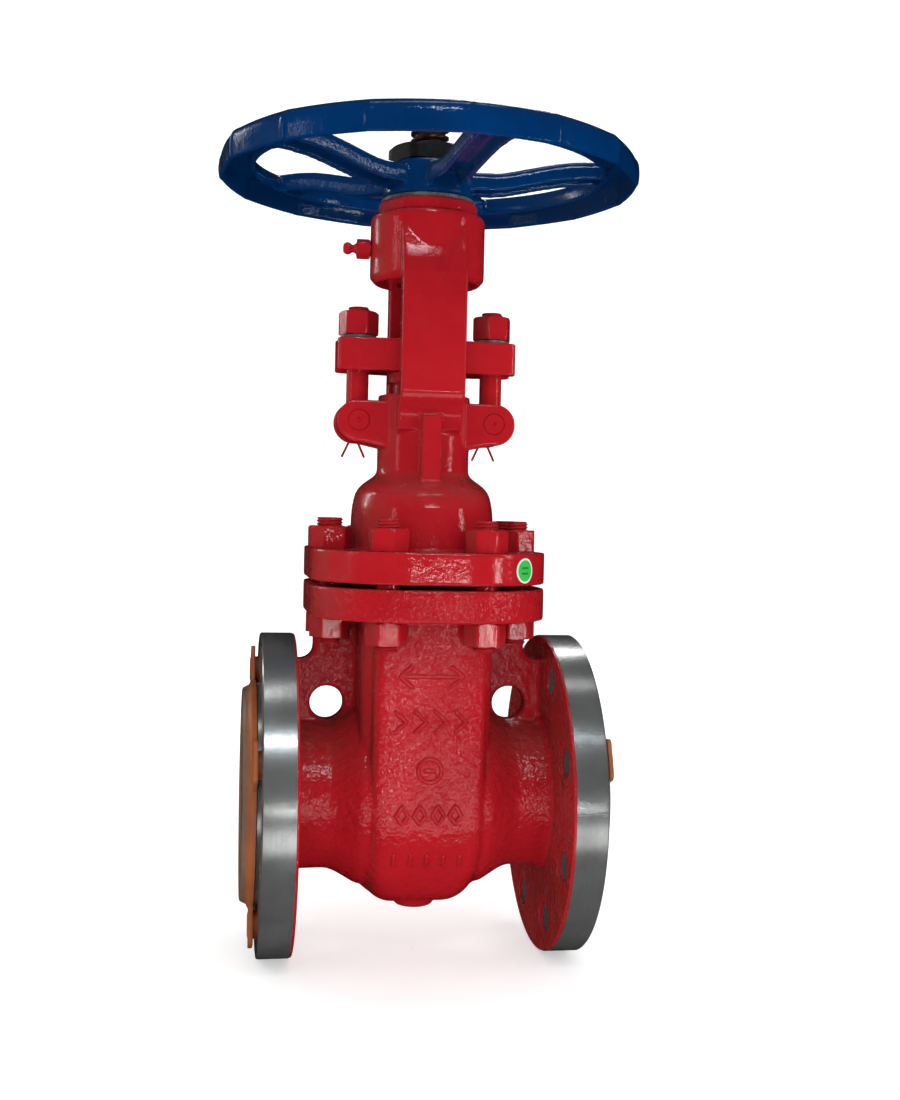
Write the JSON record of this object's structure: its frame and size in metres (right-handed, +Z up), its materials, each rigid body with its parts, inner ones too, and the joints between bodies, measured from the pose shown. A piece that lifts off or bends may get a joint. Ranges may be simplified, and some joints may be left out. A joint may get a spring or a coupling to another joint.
{
  "type": "gate valve",
  "caption": "Flanged bolted-bonnet gate valve with outside screw and yoke, rising stem, solid wedge, swing-bolt gland and a spoked handwheel.",
  "frame": {"origin": "where the pipe axis crosses the stem axis, midway between the two flange faces", "axes": "X along the pipe, Z up the stem towards the handwheel, Y across the valve"},
  "size_m": [0.264, 0.2634, 0.524],
  "materials": {
    "red_paint": "thick glossy red paint over sand-cast steel",
    "blue_paint": "glossy blue paint over cast metal",
    "bare_steel": "bare machined steel",
    "seat_alloy": "ground hard-faced steel",
    "stem_steel": "dark greased steel",
    "black_steel": "black oxide",
    "bronze": "machined bronze",
    "graphite": "pressed flexible graphite",
    "orange_plastic": "moulded translucent orange polyethylene"
  },
  "bodies": {
    "valve_body": {"body": "red_paint", "bonnet_yoke": "red_paint", "gland_bush": "red_paint", "gland_flange": "red_paint", "yoke_cap": "red_paint", "grease_nipple": "red_paint", "bonnet_stud_1": "red_paint", "bonnet_nut_upper_1": "red_paint", "bonnet_nut_lower_1": "red_paint", "bonnet_stud_2": "red_paint", "bonnet_nut_upper_2": "red_paint", "bonnet_nut_lower_2": "red_paint", "bonnet_stud_3": "red_paint", "bonnet_nut_upper_3": "red_paint", "bonnet_nut_lower_3": "red_paint", "bonnet_stud_4": "red_paint", "bonnet_nut_upper_4": "red_paint", "bonnet_nut_lower_4": "red_paint", "bonnet_stud_5": "red_paint", "bonnet_nut_upper_5": "red_paint", "bonnet_nut_lower_5": "red_paint", "bonnet_stud_6": "red_paint", "bonnet_nut_upper_6": "red_paint", "bonnet_nut_lower_6": "red_paint", "bonnet_stud_7": "red_paint", "bonnet_nut_upper_7": "red_paint", "bonnet_nut_lower_7": "red_paint", "bonnet_stud_8": "red_paint", "bonnet_nut_upper_8": "red_paint", "bonnet_nut_lower_8": "red_paint", "hinge_pin_left": "red_paint", "split_pin_left": "red_paint", "seat_ring_left": "seat_alloy", "hinge_pin_right": "red_paint", "split_pin_right": "red_paint", "seat_ring_right": "seat_alloy", "backseat_bush": "seat_alloy", "bonnet_gasket": "graphite", "packing_ring_1": "graphite", "packing_ring_2": "graphite", "packing_ring_3": "graphite", "packing_ring_4": "graphite"},
    "drive": {"handwheel": "blue_paint", "stem_nut": "bronze", "thrust_washer": "bare_steel", "handwheel_key": "bare_steel", "handwheel_nut": "black_steel"},
    "stem_and_wedge": {"stem": "stem_steel", "wedge": "seat_alloy"},
    "eyebolt_left_body": {"eyebolt_left": "red_paint"},
    "eyebolt_left_nut_body": {"eyebolt_nut_left": "red_paint", "spring_washer_left": "bare_steel"},
    "cover_left_body": {"flange_cover_left": "orange_plastic"},
    "eyebolt_right_body": {"eyebolt_right": "red_paint"},
    "eyebolt_right_nut_body": {"eyebolt_nut_right": "red_paint", "spring_washer_right": "bare_steel"},
    "cover_right_body": {"flange_cover_right": "orange_plastic"}
  },
  "joints": [
    {"name": "handwheel_turn", "type": "hinge", "parent": "valve_body", "child": "drive", "pos_m": [0, 0, 0.38], "axis": [0, 0, 1], "range_deg": [0, 6120]},
    {"name": "stem_lift", "type": "slide", "parent": "valve_body", "child": "stem_and_wedge", "axis": [0, 0, 1], "range_m": [0, 0.0851]},
    {"name": "eyebolt_left_swing", "type": "hinge", "parent": "valve_body", "child": "eyebolt_left_body", "pos_m": [-0.0424, 0, 0.2335], "axis": [0, -1, 0], "range_deg": [0, 50]},
    {"name": "eyebolt_left_nut_back_off", "type": "slide", "parent": "eyebolt_left_body", "child": "eyebolt_left_nut_body", "axis": [0, 0, 1], "range_m": [0, 0.0125]},
    {"name": "cover_left_pull", "type": "slide", "parent": "valve_body", "child": "cover_left_body", "axis": [-1, 0, 0], "range_m": [0, 0.06]},
    {"name": "eyebolt_right_swing", "type": "hinge", "parent": "valve_body", "child": "eyebolt_right_body", "pos_m": [0.0424, 0, 0.2335], "axis": [0, 1, 0], "range_deg": [0, 50]},
    {"name": "eyebolt_right_nut_back_off", "type": "slide", "parent": "eyebolt_right_body", "child": "eyebolt_right_nut_body", "axis": [0, 0, 1], "range_m": [0, 0.0125]},
    {"name": "cover_right_pull", "type": "slide", "parent": "valve_body", "child": "cover_right_body", "axis": [1, 0, 0], "range_m": [0, 0.06]}
  ],
  "couplings": [
    {"joint": "stem_lift", "follows": "handwheel_turn", "m_per_rad": 0.00079577},
    {"joint": "eyebolt_left_nut_back_off", "follows": "eyebolt_left_swing", "m_per_rad": 0.014},
    {"joint": "eyebolt_right_nut_back_off", "follows": "eyebolt_right_swing", "m_per_rad": 0.014}
  ]
}
